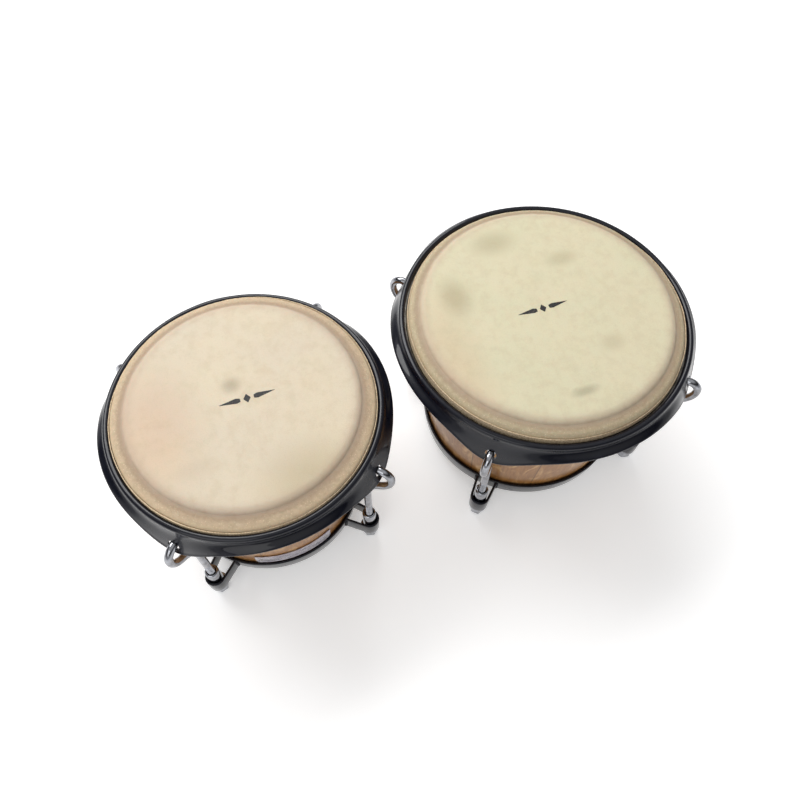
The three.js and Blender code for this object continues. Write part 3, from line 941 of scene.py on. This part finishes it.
def make_badge(drum, material, nail_material):
    """A blank plate bent round the shell, with a raised border and a nail at each end."""
    low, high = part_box(f"{drum.name}_badge")
    width = high.x - low.x
    height = high.z - low.z
    azimuth = math.atan2((low.y + high.y) / 2 - drum.centre.y, (low.x + high.x) / 2 - drum.centre.x)
    middle = (low.z + high.z) / 2
    w, h = width / 2, height / 2
    border = rounded([(-w, -h), (w, -h), (w, h), (-w, h)], 2.5 * MM, 6)
    outline = []
    for a, b in zip(border, border[1:] + border[:1]):
        pieces = max(1, int((Vector(b) - Vector(a)).length / (2 * MM)))
        outline += [tuple(Vector(a).lerp(Vector(b), k / pieces)) for k in range(pieces)]
    bottom = PLATE_GAP

    def bent(across, up, depth):
        radius = drum.shell_radius(middle + up) + depth
        return polar(drum, azimuth + across / drum.shell_radius(middle), radius, middle + up)

    layers = [(-2.6, 0.75), (-2.1, 0.75), (-1.6, 1.0), (-0.4, 1.0), (0.0, 0.7), (0.0, 0.05)]
    rows = [[bent(0, 0, bottom + 0.75 * MM)]]
    for share in (0.35, 0.7):
        rows.append([bent(a * share, b * share, bottom + 0.75 * MM) for a, b in outline])
    for grow, depth in layers:
        sx = (w + grow * MM) / w
        sy = (h + grow * MM) / h
        rows.append([bent(a * sx, b * sy, bottom + depth * MM) for a, b in outline])
    rows.append([bent(0, 0, bottom + 0.05 * MM)])
    badge = grid_object(f"{drum.name}_blank_plate", rows)
    settle(badge, drum.body, "badge_metal", material, f"{drum.name}_badge")
    nail_reach = w - 4.5 * MM
    for number, sign in enumerate((-1, 1), start=1):
        nail_rows = []
        for radius, depth in ((1.3, 0.6), (1.3, 0.9), (1.0, 1.2), (0.5, 1.35)):
            angles = np.linspace(0, TURN, 20, endpoint=False)
            nail_rows.append([
                bent(sign * nail_reach + radius * MM * math.cos(a), radius * MM * math.sin(a),
                     bottom + depth * MM) for a in angles
            ])
        ends = [[bent(sign * nail_reach, 0, bottom + 0.6 * MM)], *nail_rows,
                [bent(sign * nail_reach, 0, bottom + 1.4 * MM)]]
        nail = grid_object(f"{drum.name}_plate_nail_{number}", ends)
        settle(nail, drum.body, "badge_metal", nail_material)
    return badge


def make_mark(drum, east, north, material):
    """A small printed ornament: a slender diamond between two tapered strokes."""
    low = drum.top - 0.21 * MM
    high = drum.top - 0.05 * MM
    shapes = [[(0, -3.5), (2.6, 0), (0, 3.5), (-2.6, 0)]]
    for sign in (-1, 1):
        shapes.append([(sign * 4.8, -1.3), (sign * 7.5, -1.9), (sign * 20, 0.4), (sign * 7.5, 2.1),
                       (sign * 4.8, 1.3)])
    items = []
    for index, shape in enumerate(shapes):
        soft = rounded(shape, 0.5, 4)
        rows = []
        for z in (low, high):
            rows.append([drum.centre + Vector(((east + x) * MM, (north + y) * MM, z)) for x, y in soft])
        ends = [[np.mean(rows[0], axis=0)], *rows, [np.mean(rows[1], axis=0)]]
        items.append(grid_object(f"mark_{index}", ends))
    mark = join(f"{drum.name}_head_mark", items)
    return settle(mark, drum.body, "skin", material)


# ---------------------------------------------------------------- the object

DRUMS = {name: Drum(name) for name in ("small", "large")}
SMUDGE = srgb(150, 144, 134)
FAINT = srgb(196, 186, 170)
PINK = srgb(246, 222, 214)
# The tint of a cast shadow painted onto the small head
OLIVE_PAINTED_SHADOW = srgb(190, 180, 140)
BROWN = srgb(176, 156, 130)

# How far the collar's lip stands outside the head's radius
LIPS = {"small": 2.3 * MM, "large": 0.6 * MM}

# Stain marks on the heads, and one painted shadow on the small head: tint, place from the head's middle
# and size in millimetres, strength
STAINS_AND_SHADOW = {
    "small": [
        (SMUDGE, -4.5, 14, 9, 8, 0.4),
        (PINK, -64, -2, 40, 60, 0.5),
        # Painted shadow, not a stain mark: an olive patch of cast shadow on the small head
        (OLIVE_PAINTED_SHADOW, 30, -72, 42, 34, 0.35),
        (FAINT, -40, -40, 20, 8, 0.12),
    ],
    "large": [
        (BROWN, -61, 32, 15, 22, 0.4),
        (FAINT, -14, 71, 22, 14, 0.4),
        (SMUDGE, -5, -72, 13, 5, 0.4),
        (FAINT, 30, 40, 16, 9, 0.35),
        (FAINT, 32, -42, 12, 9, 0.30),
        (PINK, -80, -20, 26, 70, 0.4),
    ],
}

# The colours of the hide
FACES = {"small": srgb(215, 202, 180), "large": srgb(213, 207, 176)}
COLLARS = {"small": srgb(196, 170, 138), "large": srgb(182, 163, 133)}

# Where the hide's cut edge stands proud of the rim's lip: azimuth and half-width in radians
RAGGED = {
    "small": [(math.radians(200), 0.7), (math.radians(50), 0.5)],
    "large": [(math.radians(190), 0.6), (math.radians(-20), 0.5)],
}

# The ornaments' places from the middles of the heads, in millimetres east and north
MARKS = {"small": (3.4, 0.3), "large": (-3.1, 1.7)}

RIM_BLACK = black_material("rim_enamel", 0.30, 0.35)
RING_BLACK = black_material("ring_enamel", 0.20, 0.25)
CHROME = chrome_material()
HOOP_STEEL = steel_material("hoop_wire", srgb(150, 148, 144), srgb(104, 98, 90), 0.42, (1, 1, 1))
BADGE_STEEL = steel_material("brushed_plate", srgb(206, 202, 208), srgb(170, 164, 176), 0.28, (0.05, 1, 1))
NAIL_STEEL = steel_material("nail_steel", srgb(190, 188, 186), srgb(140, 136, 130), 0.3, (1, 1, 1))
INK = ink_material()
CUT_HIDE = trim_material()


def build_drum(drum):
    name = drum.name
    make_shell(drum, wood_material(drum, False), wood_material(drum, True))
    make_base_ring(drum, RING_BLACK)
    make_rim(drum, RIM_BLACK)
    make_hoop(drum, HOOP_STEEL)
    make_skin(drum, skin_material(drum, FACES[name], COLLARS[name], STAINS_AND_SHADOW[name]))
    make_trim(drum, CUT_HIDE, RAGGED[name])
    make_mark(drum, *MARKS[name], INK)
    for number in range(1, 5):
        make_strap(drum, number, RING_BLACK)
        make_hook(drum, number, CHROME)
        make_nut(drum, number, CHROME)


for drum in DRUMS.values():
    build_drum(drum)
make_badge(DRUMS["small"], BADGE_STEEL, NAIL_STEEL)


# ---------------------------------------------------------------- stage, light and camera


HORIZON_COLOUR = (0.8, 0.8, 0.82, 1)
SKY_STRENGTH = 0.69

# The sky's brightness between horizon and zenith: the sine of the elevation, and the level
SKY_BANDS = ((0.22, 0.8), (0.28, 0.05), (0.44, 0.05), (0.58, 0.30))


def make_floor():
    mesh = bpy.data.meshes.new("floor")
    reach = 4.0
    corners = [(-reach, -reach, 0), (reach, -reach, 0), (reach, reach, 0), (-reach, reach, 0)]
    mesh.from_pydata(corners, [], [(0, 1, 2, 3)])
    floor = bpy.data.objects.new("floor", mesh)
    mesh.materials.append(floor_material())
    bpy.context.scene.collection.objects.link(floor)


def make_light(name, place, aim, size, power, colour=(1, 1, 1)):
    lamp = bpy.data.lights.new(name, "AREA")
    lamp.shape = "RECTANGLE"
    lamp.size, lamp.size_y = size
    lamp.energy = power
    lamp.color = colour
    item = bpy.data.objects.new(name, lamp)
    item.location = place
    item.rotation_euler = (Vector(aim) - Vector(place)).to_track_quat("-Z", "Y").to_euler()
    bpy.context.scene.collection.objects.link(item)
    return item


def make_world():
    """A pale horizon and a bright ceiling, with a dark band between that the chrome shows."""
    world = bpy.data.worlds.new("studio")
    bpy.context.scene.world = world
    world.use_nodes = True
    tree = world.node_tree
    direction = tree.nodes.new("ShaderNodeTexCoord").outputs["Generated"]
    split = tree.nodes.new("ShaderNodeSeparateXYZ")
    tree.links.new(direction, split.inputs[0])
    ramp = tree.nodes.new("ShaderNodeValToRGB")
    tree.links.new(split.outputs[2], ramp.inputs[0])
    first, last = ramp.color_ramp.elements
    first.position = 0.0
    first.color = HORIZON_COLOUR
    last.position = 0.85
    last.color = (1.0, 1.0, 1.0, 1)
    for place, level in SKY_BANDS:
        band = ramp.color_ramp.elements.new(place)
        band.color = (level, level, level * 1.02, 1)
    background = tree.nodes["Background"]
    tree.links.new(ramp.outputs[0], background.inputs[0])
    background.inputs[1].default_value = SKY_STRENGTH


def make_camera():
    forward = CAMERA_HEADING.normalized() * math.cos(CAMERA_PITCH)
    forward.z = -math.sin(CAMERA_PITCH)
    right = forward.cross(Vector((0, 0, 1))).normalized()
    up = right.cross(forward)
    rolled_right = right * math.cos(CAMERA_ROLL) + up * math.sin(CAMERA_ROLL)
    rolled_up = up * math.cos(CAMERA_ROLL) - right * math.sin(CAMERA_ROLL)
    lens = bpy.data.cameras.new("camera")
    lens.lens = CAMERA_LENS
    lens.sensor_width = 36
    camera = bpy.data.objects.new("camera", lens)
    turn = Matrix((rolled_right, rolled_up, -forward)).transposed()
    camera.matrix_world = Matrix.Translation(CAMERA_PLACE) @ turn.to_4x4()
    bpy.context.scene.collection.objects.link(camera)
    bpy.context.scene.camera = camera


make_floor()
make_world()
make_light("key", (-0.25, 1.15, 1.5), (0, 0, 0.1), (1.9, 0.9), 32)
make_light("fill", (-0.9, -0.9, 1.0), (0, 0, 0.1), (1.0, 1.0), 5)
make_camera()
bpy.context.scene.view_settings.view_transform = "Standard"
